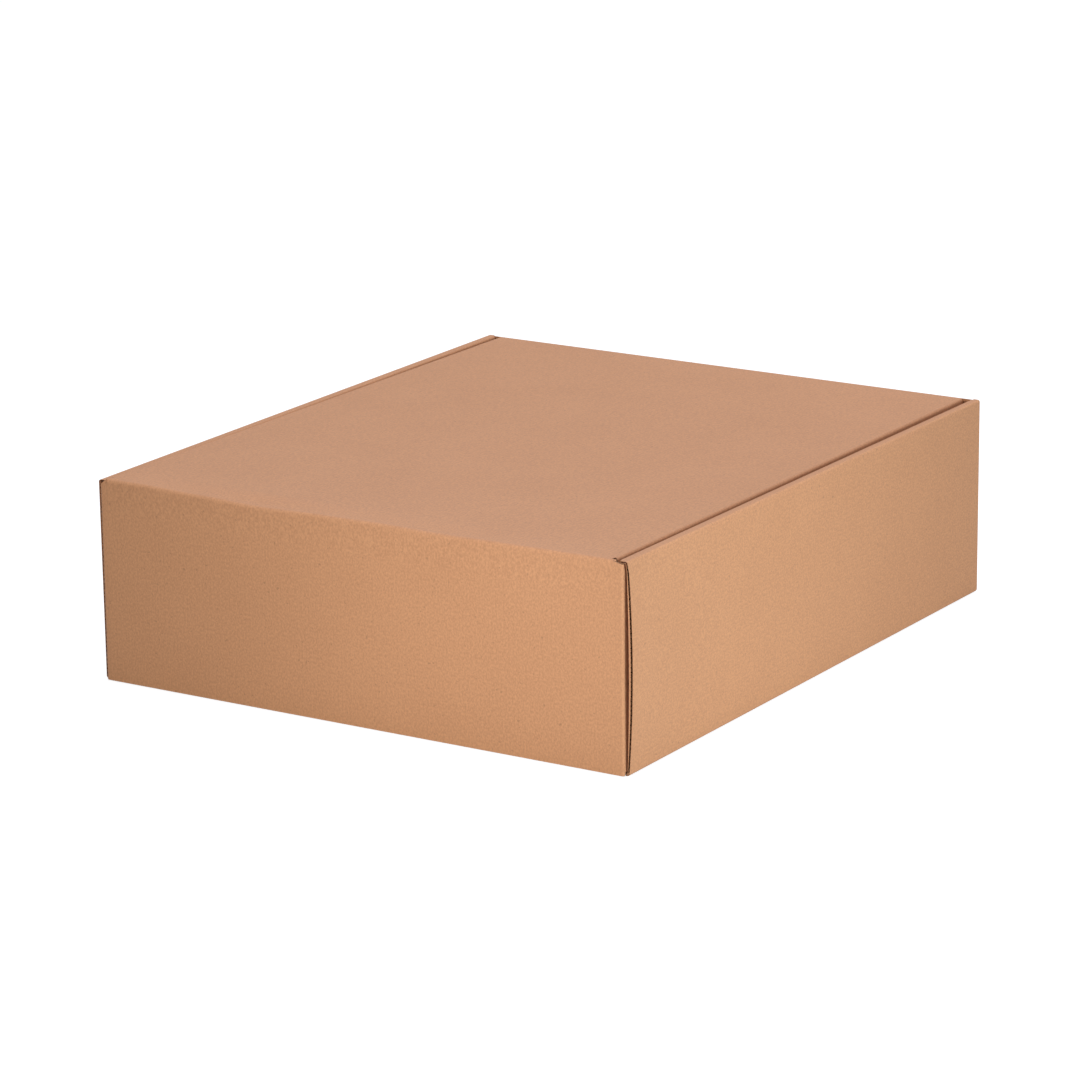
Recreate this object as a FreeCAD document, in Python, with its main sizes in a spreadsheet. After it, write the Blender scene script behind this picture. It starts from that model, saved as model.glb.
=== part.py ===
"""Closed roll-end mailer folded from one die-cut sheet of E-flute board.

Frame: origin at the middle of the footprint, +Z up. The front, with the lid's
flap, faces -Y, and the rolled side walls stand at -X and +X. Sizes are in mm.
"""
import FreeCAD
import Part
import math
import os
import Sketcher

DIMENSIONS = (
    ("box_width", 420.0, "over the outer side panels, along X"),
    ("box_depth", 492.0, "front flap to back wall, along Y"),
    ("box_height", 143.5, "underside of the base to the top of the lid"),
    ("board_thick", 1.6, "E-flute board"),
    ("crease_inside", 0.6, "inner radius of every fold"),
    ("layer_gap", 0.3, "air between two layers that lie together"),
    ("crease_gap", 0.3, "air between the lid's end and the flap's rounded end"),
    ("roll_setback", 3.0, "front ends of the side walls behind the flap's face"),
    ("panel_bulge", 3.0, "swell of the right side panel at its front edge"),
    ("bulge_reach", 120.0, "length over which that swell dies away"),
    ("edge_flare", 0.9, "opening of the board at the swollen front edge"),
    ("lid_side_gap", 1.7, "lid to the side linings at its front crease, each side"),
    ("lid_narrowing", 3.25, "further gap that opens towards the back, each side"),
    ("lid_drift", -1.2, "sideways play that the lid has taken up, along X"),
    ("flap_floor_gap", 0.4, "lower edge of the front flap above the floor"),
    ("ear_floor_gap", 1.0, "lower corner of an ear above the base"),
    ("shoulder_drop", 2.1, "flap's shoulders below the top of the lid"),
    ("ear_length", 78.0, "flap's face to the tip of an ear"),
    ("ear_slope", 9.0, "fall of an ear's upper edge from fold to tip"),
    ("ear_corner", 12.0, "corner radius at the tip of an ear"),
    ("corner_flap_length", 120.0, "corner flap from its fold to its end"),
    ("corner_flap_taper", 8.0, "narrowing of a corner flap at its end, each side"),
    ("tab_length", 60.0, "locking tab along its side wall"),
    ("tab_place", 125.0, "middle of a locking tab from the box's middle"),
    ("tab_chamfer", 1.2, "sloped lower corners of a locking tab"),
    ("slot_gap", 0.3, "air around a locking tab in its slot"),
    ("flute_pitch", 3.22, "E-flute wave, crest to crest"),
    ("liner_thick", 0.25, "each of the two liners of the board"),
    ("wave_thick", 0.31, "fluting between two hollows, along the wave"),
    ("flute_depth", 3.0, "open length of the hollows at a cut edge"),
)

# Places along X, from the outer side panel inwards: each layer is one board
# behind the next, with the layer gap between them.
HALF_WIDTH = "dims.box_width / 2"
LAYER_STEP = "(dims.board_thick + dims.layer_gap)"
EAR_FACE = f"({HALF_WIDTH} - {LAYER_STEP})"
CORNER_FACE = f"({EAR_FACE} - {LAYER_STEP})"
LINING_BACK = f"({CORNER_FACE} - {LAYER_STEP})"
LINING_FACE = f"({LINING_BACK} - dims.board_thick)"

# Places along Y.
HALF_DEPTH = "dims.box_depth / 2"
WALL_FRONT = f"({HALF_DEPTH} - {LAYER_STEP})"
LID_FRONT = f"({HALF_DEPTH} - dims.board_thick - dims.crease_gap)"
ROLL_FRONT = f"({HALF_DEPTH} - dims.roll_setback)"
LINING_FRONT = f"({WALL_FRONT} - {LAYER_STEP})"
LINING_REAR = f"({HALF_DEPTH} - {LAYER_STEP})"
EAR_TIP = f"({HALF_DEPTH} - dims.ear_length)"
CREASE_AXIS = f"({HALF_DEPTH} - dims.board_thick / 2)"

# Places along Z, and the outer radius of a fold.
OUTER_FOLD = "(dims.crease_inside + dims.board_thick)"
TOP = "dims.box_height"
WALL_TOP = f"({TOP} - {OUTER_FOLD})"
LAYER_FOOT = LAYER_STEP
CREASE_LEVEL = f"({TOP} - dims.board_thick / 2)"
SHOULDER = f"({TOP} - dims.shoulder_drop)"
EAR_FOOT = "(dims.board_thick + dims.ear_floor_gap)"
WALL_HALF = f"({CORNER_FACE} - {OUTER_FOLD})"
LID_WIDTH = f"(2 * {LINING_FACE} - 2 * dims.lid_side_gap)"
FLAP_HALF = f"({EAR_FACE} - {OUTER_FOLD})"
MIDDLE_SHIFT = "dims.panel_bulge / -2"

doc = FreeCAD.newDocument("RollEndMailer")


def fill_sheet():
    """Write the driving dimensions into the sheet, one row each."""
    sheet = doc.addObject("Spreadsheet::Sheet", "dims")
    for row, (alias, size, meaning) in enumerate(DIMENSIONS, start=1):
        sheet.set(f"A{row}", str(size))
        sheet.setAlias(f"A{row}", alias)
        sheet.set(f"B{row}", meaning)
    doc.recompute()
    return sheet


def size_of(expression):
    """Value of an expression over the sheet's dimensions."""
    return float(dims.evalExpression(expression))


def new_body(label):
    """Empty body, moved so that the swollen side panel leaves the part centred."""
    body = doc.addObject("PartDesign::Body", label)
    body.setExpression("Placement.Base.x", MIDDLE_SHIFT)
    doc.recompute()
    return body


def new_sketch(body, name, role, offset=None):
    """Sketch on one of the body's own origin planes, moved along its normal."""
    planes = [item for item in body.Origin.OriginFeatures if item.Role == role]
    sketch = body.newObject("Sketcher::SketchObject", name)
    sketch.AttachmentSupport = [(planes[0], "")]
    sketch.MapMode = "FlatFace"
    if offset is not None:
        sketch.setExpression("AttachmentOffset.Base.z", offset)
    doc.recompute()
    return sketch


def bend(radius, turn):
    """Arc to the next point of an outline. Turn 1 is anticlockwise, -1 clockwise."""
    return (radius, turn)


def arc_through(start, end, radius, turn):
    """The shorter arc between two points with a given radius and turn."""
    chord = end - start
    half = chord.Length / 2
    rise = radius - math.sqrt(max(radius ** 2 - half ** 2, 0.0))
    side = FreeCAD.Vector(chord.y, -chord.x, 0).normalize() * turn
    return Part.Arc(start, (start + end) / 2 + side * rise, end)


def bind(sketch, constraint, name, expression):
    """Add a constraint under a name and tie it to the sheet."""
    number = sketch.addConstraint(constraint)
    sketch.renameConstraint(number, name)
    sketch.setExpression(f"Constraints.{name}", expression)


def draw_outline(sketch, prefix, corners):
    """Closed outline whose corners and radii are tied to the sheet.

    A corner is (x, y) or (x, y, bend). The bend is the arc to the next corner,
    and without one a straight edge leads there.
    """
    places = [FreeCAD.Vector(size_of(item[0]), size_of(item[1]), 0) for item in corners]
    edges = []
    for index, corner in enumerate(corners):
        start = places[index]
        end = places[(index + 1) % len(places)]
        if len(corner) == 3:
            radius, turn = corner[2]
            edge = sketch.addGeometry(arc_through(start, end, size_of(radius), turn))
        else:
            edge = sketch.addGeometry(Part.LineSegment(start, end))
        near = 1
        if (sketch.getPoint(edge, 1) - start).Length > (sketch.getPoint(edge, 2) - start).Length:
            near = 2
        edges.append((edge, near))
    for index, (edge, near) in enumerate(edges):
        last_edge, last_near = edges[index - 1]
        sketch.addConstraint(
            Sketcher.Constraint("Coincident", last_edge, 3 - last_near, edge, near))
    for index, (edge, near) in enumerate(edges):
        place = places[index]
        across = Sketcher.Constraint("DistanceX", -1, 1, edge, near, place.x)
        along = Sketcher.Constraint("DistanceY", -1, 1, edge, near, place.y)
        bind(sketch, across, f"{prefix}_across_{index}", corners[index][0])
        bind(sketch, along, f"{prefix}_along_{index}", corners[index][1])
        if len(corners[index]) == 3:
            radius = corners[index][2][0]
            bow = Sketcher.Constraint("Radius", edge, size_of(radius))
            bind(sketch, bow, f"{prefix}_radius_{index}", radius)


def extrude(body, kind, name, sketch, length, backwards=False, both_ways=False):
    """Pad or pocket of a sketch, checked to change the body's volume."""
    before = body.Shape.Volume if body.Tip else 0.0
    feature = body.newObject(f"PartDesign::{kind}", name)
    feature.Profile = sketch
    feature.setExpression("Length", length)
    feature.SideType = "Symmetric" if both_ways else "One side"
    feature.Reversed = backwards
    doc.recompute()
    change = body.Shape.Volume - before
    if (change <= 0) == (kind == "Pad"):
        raise RuntimeError(f"{name} changed the volume by {change:.3f}")
    return feature


def mirror_to_left(body, name, feature):
    """Repeat a feature of the right side wall on the left one."""
    planes = [item for item in body.Origin.OriginFeatures if item.Role == "YZ_Plane"]
    mirrored = body.newObject("PartDesign::Mirrored", name)
    mirrored.Originals = [feature]
    mirrored.MirrorPlane = (planes[0], [""])
    body.Tip = mirrored
    doc.recompute()
    return mirrored


def signed(sign, expression):
    """The same place on either side of the middle."""
    return expression if sign > 0 else f"-({expression})"


def build_wall_loop(body):
    """Front wall, base and back wall as one bent run of board."""
    corners = [
        (f"-{WALL_FRONT}", WALL_TOP),
        (f"-{WALL_FRONT}", OUTER_FOLD, bend(OUTER_FOLD, 1)),
        (f"-{WALL_FRONT} + {OUTER_FOLD}", "0"),
        (f"{HALF_DEPTH} - {OUTER_FOLD}", "0", bend(OUTER_FOLD, 1)),
        (HALF_DEPTH, OUTER_FOLD),
        (HALF_DEPTH, WALL_TOP),
        (f"{HALF_DEPTH} - dims.board_thick", WALL_TOP),
        (f"{HALF_DEPTH} - dims.board_thick", OUTER_FOLD, bend("dims.crease_inside", -1)),
        (f"{HALF_DEPTH} - {OUTER_FOLD}", "dims.board_thick"),
        (f"-{WALL_FRONT} + {OUTER_FOLD}", "dims.board_thick", bend("dims.crease_inside", -1)),
        (f"-{WALL_FRONT} + dims.board_thick", OUTER_FOLD),
        (f"-{WALL_FRONT} + dims.board_thick", WALL_TOP),
    ]
    sketch = new_sketch(body, "wall_loop_section", "YZ_Plane")
    draw_outline(sketch, "loop", corners)
    extrude(body, "Pad", "wall_loop", sketch, f"2 * {WALL_HALF}", both_ways=True)


def build_lid(body):
    """Lid and its fold over the top of the back wall, with tapered cut sides."""
    corners = [
        (f"-{LID_FRONT}", TOP),
        (f"-{LID_FRONT}", f"{TOP} - dims.board_thick"),
        (f"{HALF_DEPTH} - {OUTER_FOLD}", f"{TOP} - dims.board_thick", bend("dims.crease_inside", -1)),
        (f"{HALF_DEPTH} - dims.board_thick", WALL_TOP),
        (HALF_DEPTH, WALL_TOP, bend(OUTER_FOLD, 1)),
        (f"{HALF_DEPTH} - {OUTER_FOLD}", TOP),
    ]
    sketch = new_sketch(body, "lid_section", "YZ_Plane", "dims.lid_drift")
    draw_outline(sketch, "lid", corners)
    extrude(body, "Pad", "lid", sketch, LID_WIDTH, both_ways=True)

    trim = new_sketch(body, "lid_side_trim", "XY_Plane", TOP)
    for sign in (1, -1):
        front = f"dims.lid_drift + {sign} * {LID_WIDTH} / 2"
        back = f"{front} - {sign} * dims.lid_narrowing"
        outside = f"{front} + {sign} * dims.board_thick"
        wedge = [
            (front, f"-{LID_FRONT}"),
            (outside, f"-{LID_FRONT}"),
            (outside, HALF_DEPTH),
            (back, HALF_DEPTH),
        ]
        draw_outline(trim, "right" if sign > 0 else "left", wedge)
    extrude(body, "Pocket", "lid_taper", trim, OUTER_FOLD)


def build_side_walls(body):
    """Outer side panels, the strips over their tops and the linings inside."""
    outer = new_sketch(body, "side_roll_section", "XZ_Plane", "dims.roll_setback / -2")
    lining = new_sketch(body, "side_lining_section", "XZ_Plane",
                        f"({LINING_FRONT} - {LINING_REAR}) / 2")
    for sign in (1, -1):
        side = "right" if sign > 0 else "left"
        outer_corners = [
            (WALL_HALF, "0"),
            (f"{HALF_WIDTH} - {OUTER_FOLD}", "0", bend(OUTER_FOLD, sign)),
            (HALF_WIDTH, OUTER_FOLD),
            (HALF_WIDTH, WALL_TOP, bend(OUTER_FOLD, sign)),
            (f"{HALF_WIDTH} - {OUTER_FOLD}", TOP),
            (f"{LINING_FACE} + {OUTER_FOLD}", TOP),
            (f"{LINING_FACE} + {OUTER_FOLD}", f"{TOP} - dims.board_thick"),
            (f"{HALF_WIDTH} - {OUTER_FOLD}", f"{TOP} - dims.board_thick",
             bend("dims.crease_inside", -sign)),
            (f"{HALF_WIDTH} - dims.board_thick", WALL_TOP),
            (f"{HALF_WIDTH} - dims.board_thick", OUTER_FOLD, bend("dims.crease_inside", -sign)),
            (f"{HALF_WIDTH} - {OUTER_FOLD}", "dims.board_thick"),
            (WALL_HALF, "dims.board_thick"),
        ]
        lining_corners = [
            (f"{LINING_FACE} + {OUTER_FOLD}", TOP, bend(OUTER_FOLD, sign)),
            (LINING_FACE, WALL_TOP),
            (LINING_FACE, LAYER_FOOT),
            (LINING_BACK, LAYER_FOOT),
            (LINING_BACK, WALL_TOP, bend("dims.crease_inside", -sign)),
            (f"{LINING_FACE} + {OUTER_FOLD}", f"{TOP} - dims.board_thick"),
        ]
        for sketch, corners in ((outer, outer_corners), (lining, lining_corners)):
            placed = [(signed(sign, corner[0]), *corner[1:]) for corner in corners]
            draw_outline(sketch, side, placed)
    extrude(body, "Pad", "side_rolls", outer, "dims.box_depth - dims.roll_setback", both_ways=True)
    extrude(body, "Pad", "side_linings", lining, f"{LINING_FRONT} + {LINING_REAR}", both_ways=True)


def build_locking_tabs(body):
    """Slots in the base, and the tabs of the linings that stand in them."""
    slots = new_sketch(body, "slot_outlines", "XY_Plane")
    for side, sign in (("right", 1), ("left", -1)):
        for end, way in (("rear", 1), ("front", -1)):
            inside = signed(sign, f"{LINING_FACE} - dims.slot_gap")
            outside = signed(sign, f"{LINING_BACK} + dims.slot_gap")
            middle = f"{way} * dims.tab_place"
            reach = "(dims.tab_length / 2 + dims.slot_gap)"
            rectangle = [
                (inside, f"{middle} - {reach}"),
                (outside, f"{middle} - {reach}"),
                (outside, f"{middle} + {reach}"),
                (inside, f"{middle} + {reach}"),
            ]
            draw_outline(slots, f"{side}_{end}", rectangle)
    extrude(body, "Pocket", "tab_slots", slots, "dims.board_thick", backwards=True)

    tabs = new_sketch(body, "tab_outlines", "YZ_Plane", LINING_FACE)
    for end, way in (("rear", 1), ("front", -1)):
        middle = f"{way} * dims.tab_place"
        half = "dims.tab_length / 2"
        foot = "(dims.board_thick - dims.tab_chamfer)"
        outline = [
            (f"{middle} - {half}", LAYER_FOOT),
            (f"{middle} - {half}", "dims.board_thick"),
            (f"{middle} - {half} + dims.tab_chamfer", foot),
            (f"{middle} + {half} - dims.tab_chamfer", foot),
            (f"{middle} + {half}", "dims.board_thick"),
            (f"{middle} + {half}", LAYER_FOOT),
        ]
        draw_outline(tabs, end, outline)
    right_tabs = extrude(body, "Pad", "locking_tabs", tabs, "dims.board_thick")
    mirror_to_left(body, "locking_tabs_left", right_tabs)


def build_corner_flaps(body):
    """Corner flaps folded from the ends of the front and back walls."""
    folds = new_sketch(body, "corner_fold_sections", "XY_Plane", LAYER_FOOT)
    flaps = new_sketch(body, "corner_flap_outlines", "YZ_Plane", CORNER_FACE)
    for end, way, face in (("rear", 1, HALF_DEPTH), ("front", -1, WALL_FRONT)):
        fold_end = f"{face} - {OUTER_FOLD}"
        for side, sign in (("right", 1), ("left", -1)):
            fold = [
                (WALL_HALF, face, bend(OUTER_FOLD, -sign * way)),
                (CORNER_FACE, fold_end),
                (f"{CORNER_FACE} - dims.board_thick", fold_end,
                 bend("dims.crease_inside", sign * way)),
                (WALL_HALF, f"{face} - dims.board_thick"),
            ]
            placed = [(signed(sign, item[0]), signed(way, item[1]), *item[2:]) for item in fold]
            draw_outline(folds, f"{side}_{end}", placed)
        tip = f"{fold_end} - dims.corner_flap_length"
        outline = [
            (signed(way, fold_end), LAYER_FOOT),
            (signed(way, tip), f"{LAYER_FOOT} + dims.corner_flap_taper"),
            (signed(way, tip), f"{WALL_TOP} - dims.corner_flap_taper"),
            (signed(way, fold_end), WALL_TOP),
        ]
        draw_outline(flaps, end, outline)
    extrude(body, "Pad", "corner_folds", folds, f"{WALL_TOP} - {LAYER_FOOT}")
    right_flaps = extrude(body, "Pad", "corner_flaps", flaps, "dims.board_thick", backwards=True)
    mirror_to_left(body, "corner_flaps_left", right_flaps)


def arch_radius(rise):
    """Radius of the arc that rises so far over the height of a side panel."""
    chord = f"({WALL_TOP} - {OUTER_FOLD})"
    return f"((({chord} / 2) ^ 2 + {rise} ^ 2) / (2 * {rise}))"


def swell_right_panel(body):
    """Right side panel bowed out at its front edge, where the ear holds it open.

    The flat panel is cut away there, and a ruled skin takes its place between
    the arched front edge and the flat section further back.
    """
    window = new_sketch(body, "swell_window", "YZ_Plane", HALF_WIDTH)
    swell_end = f"-{ROLL_FRONT} + dims.bulge_reach"
    draw_outline(window, "window", [
        (f"-{ROLL_FRONT}", OUTER_FOLD),
        (swell_end, OUTER_FOLD),
        (swell_end, WALL_TOP),
        (f"-{ROLL_FRONT}", WALL_TOP),
    ])
    extrude(body, "Pocket", "swell_cut", window, "dims.board_thick")

    inside = f"{HALF_WIDTH} - dims.board_thick"
    outer_arch = bend(arch_radius("dims.panel_bulge"), 1)
    inner_arch = bend(arch_radius("(dims.panel_bulge - dims.edge_flare)"), -1)
    front = new_sketch(body, "swollen_edge", "XZ_Plane", ROLL_FRONT)
    draw_outline(front, "edge", [
        (HALF_WIDTH, OUTER_FOLD, outer_arch),
        (HALF_WIDTH, WALL_TOP),
        (inside, WALL_TOP, inner_arch),
        (inside, OUTER_FOLD),
    ])
    rear = new_sketch(body, "swell_root", "XZ_Plane", f"{ROLL_FRONT} - dims.bulge_reach")
    draw_outline(rear, "root", [
        (HALF_WIDTH, OUTER_FOLD),
        (HALF_WIDTH, WALL_TOP),
        (inside, WALL_TOP),
        (inside, OUTER_FOLD),
    ])
    skin = body.newObject("PartDesign::AdditiveLoft", "swollen_panel")
    skin.Profile = front
    skin.Sections = [rear]
    skin.Ruled = True
    doc.recompute()


def cut_base_corners(body):
    """Relief notches in the base between the side folds and the end folds."""
    sketch = new_sketch(body, "base_corner_notches", "XY_Plane")
    ends = (
        ("rear", 1, f"{HALF_DEPTH} - {OUTER_FOLD}", HALF_DEPTH),
        ("front", -1, f"{WALL_FRONT} - {OUTER_FOLD}", ROLL_FRONT),
    )
    for end, way, inner, outer in ends:
        for side, sign in (("right", 1), ("left", -1)):
            notch = [
                (WALL_HALF, inner),
                (f"{HALF_WIDTH} - {OUTER_FOLD}", inner),
                (f"{HALF_WIDTH} - {OUTER_FOLD}", outer),
                (WALL_HALF, outer),
            ]
            placed = [(signed(sign, item[0]), signed(way, item[1])) for item in notch]
            draw_outline(sketch, f"{side}_{end}", placed)
    extrude(body, "Pocket", "base_corner_cut", sketch, "dims.board_thick", backwards=True)


def build_flap_panel(body):
    """Front flap, with the rounded end that turns in the lid's crease."""
    crease = new_sketch(body, "crease_section", "YZ_Plane", "dims.lid_drift")
    round_end = "dims.board_thick / 2"
    draw_outline(crease, "crease", [
        (f"-{HALF_DEPTH}", SHOULDER),
        (f"-{HALF_DEPTH} + dims.board_thick", SHOULDER),
        (f"-{HALF_DEPTH} + dims.board_thick", CREASE_LEVEL, bend(round_end, 1)),
        (f"-{CREASE_AXIS}", TOP, bend(round_end, 1)),
        (f"-{HALF_DEPTH}", CREASE_LEVEL),
    ])
    extrude(body, "Pad", "crease_edge", crease, LID_WIDTH, both_ways=True)

    panel = new_sketch(body, "panel_outline", "XZ_Plane", HALF_DEPTH)
    draw_outline(panel, "panel", [
        (f"-{FLAP_HALF}", "dims.flap_floor_gap"),
        (FLAP_HALF, "dims.flap_floor_gap"),
        (FLAP_HALF, SHOULDER),
        (f"-{FLAP_HALF}", SHOULDER),
    ])
    extrude(body, "Pad", "flap_panel", panel, "dims.board_thick", backwards=True)


def build_ears(body):
    """Ears at the ends of the front flap, tucked behind the outer side panels.

    The lower edge is an arc about the crease, so an ear stays clear of the
    base while it swings out of its slot.
    """
    fold_end = f"{HALF_DEPTH} - {OUTER_FOLD}"
    folds = new_sketch(body, "ear_fold_sections", "XY_Plane", "dims.flap_floor_gap")
    for side, sign in (("right", 1), ("left", -1)):
        fold = [
            (FLAP_HALF, f"-({HALF_DEPTH})", bend(OUTER_FOLD, sign)),
            (EAR_FACE, f"-({fold_end})"),
            (f"{EAR_FACE} - dims.board_thick", f"-({fold_end})", bend("dims.crease_inside", -sign)),
            (FLAP_HALF, f"-({HALF_DEPTH} - dims.board_thick)"),
        ]
        placed = [(signed(sign, item[0]), *item[1:]) for item in fold]
        draw_outline(folds, side, placed)
    extrude(body, "Pad", "ear_folds", folds, f"{SHOULDER} - dims.flap_floor_gap")

    swing = f"({CREASE_LEVEL} - {EAR_FOOT})"
    root_foot = f"{CREASE_LEVEL} - sqrt({swing} ^ 2 - ({CREASE_AXIS} - ({fold_end})) ^ 2)"
    tip_foot = f"{CREASE_LEVEL} - sqrt({swing} ^ 2 - ({CREASE_AXIS} - {EAR_TIP}) ^ 2)"
    ears = new_sketch(body, "ear_outline", "YZ_Plane", EAR_FACE)
    draw_outline(ears, "ear", [
        (f"-({fold_end})", root_foot, bend(swing, 1)),
        (f"-{EAR_TIP}", tip_foot),
        (f"-{EAR_TIP}", f"{SHOULDER} - dims.ear_slope - dims.ear_corner",
         bend("dims.ear_corner", 1)),
        (f"-{EAR_TIP} - dims.ear_corner", f"{SHOULDER} - dims.ear_slope"),
        (f"-({fold_end})", SHOULDER),
    ])
    right_ear = extrude(body, "Pad", "ear", ears, "dims.board_thick", backwards=True)
    mirror_to_left(body, "ear_left", right_ear)


def flute_hollow(near, far, along, across, depth):
    """Open end of one flute: a prism on a triangle that points from near to far."""
    half = along * ((size_of("dims.flute_pitch") - 2 * size_of("dims.wave_thick")) / 2)
    start = near - depth.normalize() * size_of("dims.board_thick")
    corners = [start - half, start + half, start + across * (far - near).Length]
    face = Part.Face(Part.makePolygon(corners + corners[:1]))
    return face.extrude(depth * (size_of("dims.flute_depth") + size_of("dims.board_thick")))


def flute_row(first, last, along, depth, faces_at):
    """Open flutes along a cut edge, in turn from one liner and from the other.

    faces_at gives the two faces of the board at a place along the edge.
    """
    pitch = size_of("dims.flute_pitch")
    liner = size_of("dims.liner_thick")
    count = int((last - first) / pitch * 2) - 1
    margin = (last - first - (count - 1) * pitch / 2) / 2
    hollows = []
    for number in range(count):
        inner, outer = faces_at(first + margin + number * pitch / 2)
        across = (outer - inner).normalize()
        near = inner + across * liner
        far = outer - across * liner
        if number % 2:
            near, far, across = far, near, -across
        hollows.append(flute_hollow(near, far, along, across, FreeCAD.Vector(depth)))
    return hollows


def panel_faces(sign, place, swollen):
    """Function that gives the faces of a side panel's cut edge at a height."""
    outside = size_of(HALF_WIDTH)
    inside = outside - size_of("dims.board_thick")
    foot = size_of(OUTER_FOLD)
    head = size_of(WALL_TOP)
    rises = (size_of("dims.panel_bulge - dims.edge_flare"), size_of("dims.panel_bulge"))

    def arch(rise, level):
        radius = ((head - foot) ** 2 / 4 + rise ** 2) / (2 * rise)
        return math.sqrt(radius ** 2 - (level - (foot + head) / 2) ** 2) - radius + rise

    def faces(level):
        shifts = [arch(rise, level) if swollen else 0.0 for rise in rises]
        return (FreeCAD.Vector(sign * (inside + shifts[0]), place, level),
                FreeCAD.Vector(sign * (outside + shifts[1]), place, level))

    return faces


def side_wall_flutes():
    """Open flutes in the front and rear cut edges of both outer side panels."""
    hollows = []
    for sign in (1, -1):
        for way, place in ((1, HALF_DEPTH), (-1, ROLL_FRONT)):
            faces = panel_faces(sign, way * size_of(place), sign > 0 > way)
            hollows += flute_row(size_of(OUTER_FOLD), size_of(WALL_TOP), FreeCAD.Vector(0, 0, 1),
                                 FreeCAD.Vector(0, -way, 0), faces)
    return hollows


def flap_flutes():
    """Open flutes in the lower cut edge of the front flap."""
    front = -size_of(HALF_DEPTH)
    back = front + size_of("dims.board_thick")
    level = size_of("dims.flap_floor_gap")

    def faces(across):
        return FreeCAD.Vector(across, back, level), FreeCAD.Vector(across, front, level)

    reach = size_of(FLAP_HALF)
    return flute_row(-reach, reach, FreeCAD.Vector(1, 0, 0), FreeCAD.Vector(0, 0, 1), faces)


def open_flutes(label, body, hollows):
    """The body with the flutes open at its cut edges, under the node's name."""
    cutters = doc.addObject("Part::Feature", f"{label}_flutes")
    cutters.Shape = Part.makeCompound(hollows)
    cutters.Placement = body.Placement
    node = doc.addObject("Part::Cut", label)
    node.Label = label
    node.Base = body
    node.Tool = cutters
    doc.recompute()
    return node


def check_objects(nodes):
    """Stop if an object failed or a node is not one valid solid."""
    for item in doc.Objects:
        if {"Invalid", "Error"} & set(item.State):
            raise RuntimeError(f"{item.Name} failed: {item.State}")
    for node in nodes:
        shape = node.Shape
        if shape.isNull() or not shape.isValid() or len(shape.Solids) != 1:
            raise RuntimeError(f"{node.Label} is not one valid solid")


def export_nodes(nodes):
    """Write each node to its own file."""
    os.makedirs("parts", exist_ok=True)
    for node in nodes:
        node.Shape.exportStep(f"parts/{node.Label}.step")
        print(f"{node.Label}: {node.Shape.Volume:.0f} cubic mm, {len(node.Shape.Faces)} faces")


dims = fill_sheet()

box_sheet = new_body("box_sheet")
build_wall_loop(box_sheet)
build_lid(box_sheet)
build_side_walls(box_sheet)
build_locking_tabs(box_sheet)
build_corner_flaps(box_sheet)
swell_right_panel(box_sheet)
cut_base_corners(box_sheet)
box_body = open_flutes("box_body", box_sheet, side_wall_flutes())

flap_sheet = new_body("flap_sheet")
build_flap_panel(flap_sheet)
build_ears(flap_sheet)
front_flap = open_flutes("front_flap", flap_sheet, flap_flutes())

check_objects([box_body, front_flap])
export_nodes([box_body, front_flap])
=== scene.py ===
"""Looks of a closed roll-end mailer box, folded from one sheet of kraft E-flute board.

Sizes are in metres, in the frame of the CAD part: the origin is the middle of the
footprint, +Z is up, the lid's front flap faces -Y, the side walls stand at -X and +X.
"""
import logging
import math
from dataclasses import dataclass
from enum import Enum
from functools import lru_cache
from typing import Any, Callable, Dict, List, Optional, Sequence, Tuple, Union

import bpy
from mathutils import Matrix, Vector


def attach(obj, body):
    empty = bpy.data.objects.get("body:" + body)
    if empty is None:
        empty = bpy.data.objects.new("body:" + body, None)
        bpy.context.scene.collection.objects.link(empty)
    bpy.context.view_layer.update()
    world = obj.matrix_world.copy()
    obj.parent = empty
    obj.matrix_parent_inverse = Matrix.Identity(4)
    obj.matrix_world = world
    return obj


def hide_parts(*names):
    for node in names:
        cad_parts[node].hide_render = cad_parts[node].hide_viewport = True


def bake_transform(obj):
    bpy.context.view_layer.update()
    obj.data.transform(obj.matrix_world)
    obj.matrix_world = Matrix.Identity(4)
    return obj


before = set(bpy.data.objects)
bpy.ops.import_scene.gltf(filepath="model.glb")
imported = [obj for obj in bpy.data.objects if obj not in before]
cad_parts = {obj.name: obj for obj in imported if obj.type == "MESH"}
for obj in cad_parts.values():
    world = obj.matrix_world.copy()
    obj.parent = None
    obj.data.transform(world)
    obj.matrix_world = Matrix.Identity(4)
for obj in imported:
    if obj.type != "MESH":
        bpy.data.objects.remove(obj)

LOG = logging.getLogger("mailer_box")
Point = Tuple[float, float, float]
Colour = Tuple[float, float, float]
Socket = bpy.types.NodeSocket

# Two places closer than HAIR are the same one. After a thickening they may differ by up to TRACE.
HAIR = 1e-6
TRACE = 1e-5
MERGE = 2e-6
FLUTE_PITCH = 0.00322
FOLD_STEPS = 10
SMOOTH_UNDER = 32.0


def smooth(share: float) -> float:
    """Ease a share from 0 to 1 so that it starts and ends level."""
    return share * share * (3 - 2 * share)


def clamp(share: float) -> float:
    """Keep a share between 0 and 1."""
    return min(1.0, max(0.0, share))


class Facing(Enum):
    """Way that the outer face of a flat panel looks, as turns about X, Y and Z in degrees."""

    UP = (0, 0, 0)
    DOWN = (180, 0, 0)
    FRONT = (90, 0, 0)
    BACK = (-90, 0, 0)
    RIGHT = (0, 90, 0)
    LEFT = (0, -90, 0)


class Side(Enum):
    """Side of the box, as the sign of its place along X."""

    LEFT = -1
    RIGHT = 1


class End(Enum):
    """End of the box, as the sign of its place along Y."""

    FRONT = -1
    BACK = 1


class FlutesAcross(Enum):
    """Direction across the flutes, in which a panel shows them as faint ribs."""

    LID = (1.0, 0.0, 0.0)
    SIDES = (1.0, 0.0, 1.0)
    ENDS = (1.0, 1.0, 0.0)


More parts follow.
